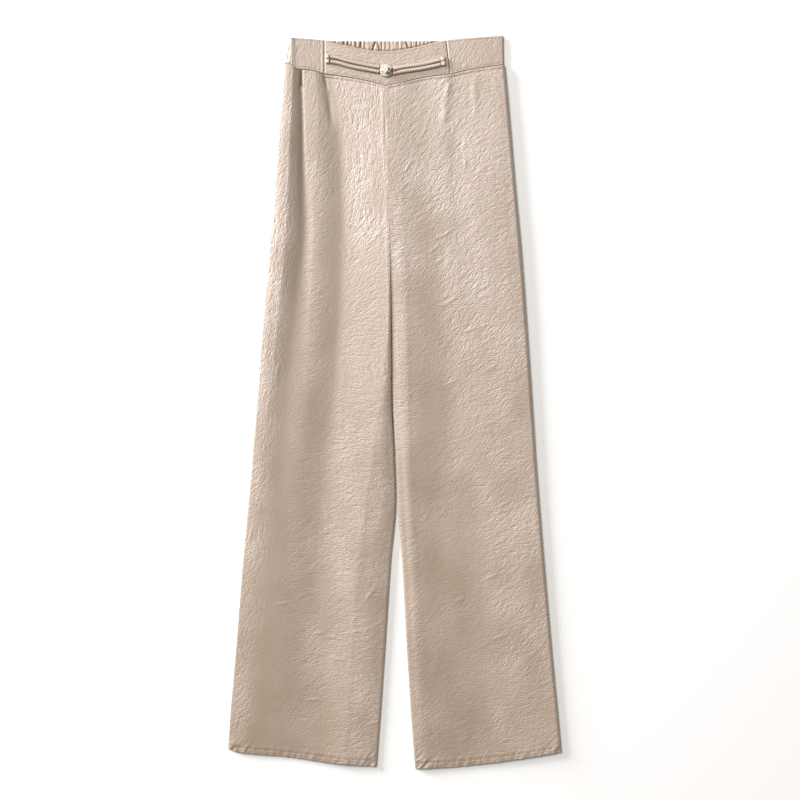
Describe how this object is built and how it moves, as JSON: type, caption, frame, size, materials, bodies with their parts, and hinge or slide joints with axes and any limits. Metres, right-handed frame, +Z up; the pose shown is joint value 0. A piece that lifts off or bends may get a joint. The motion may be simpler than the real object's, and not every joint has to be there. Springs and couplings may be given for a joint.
{
  "type": "straight trousers",
  "caption": "High-waisted straight wide-leg trousers of crinkled satin laid flat, with a shaped front waistband, a gathered elastic back and a corded frog with a ball knot.",
  "frame": {"origin": "on the surface the trousers lie on, under the middle of the garment's outline", "axes": "+X to the viewer's right, +Y along the legs from the hems up to the waist, +Z up from the surface, with the front of the garment facing up"},
  "size_m": [0.4628, 1.0187, 0.0182],
  "materials": {
    "satin": "crinkled champagne satin with a soft sheen",
    "waistband_satin": "smooth doubled satin with a fine upright grain",
    "gathered_satin": "satin gathered on elastic",
    "cord": "twisted satin cord, slightly greyer than the cloth",
    "knot": "ivory satin cord tied in a ball knot"
  },
  "bodies": {
    "root": {"front_leg_left": "satin", "front_leg_right": "satin", "back_leg_left": "satin", "back_leg_right": "satin", "band_back": "gathered_satin", "band_centre": "waistband_satin", "band_side_left": "waistband_satin", "band_side_right": "waistband_satin", "cord_left_upper": "cord", "cord_left_lower": "cord", "cord_right_upper": "cord", "cord_right_lower": "cord", "tab_left": "cord", "tab_right": "cord", "knot_button": "knot"}
  },
  "joints": []
}
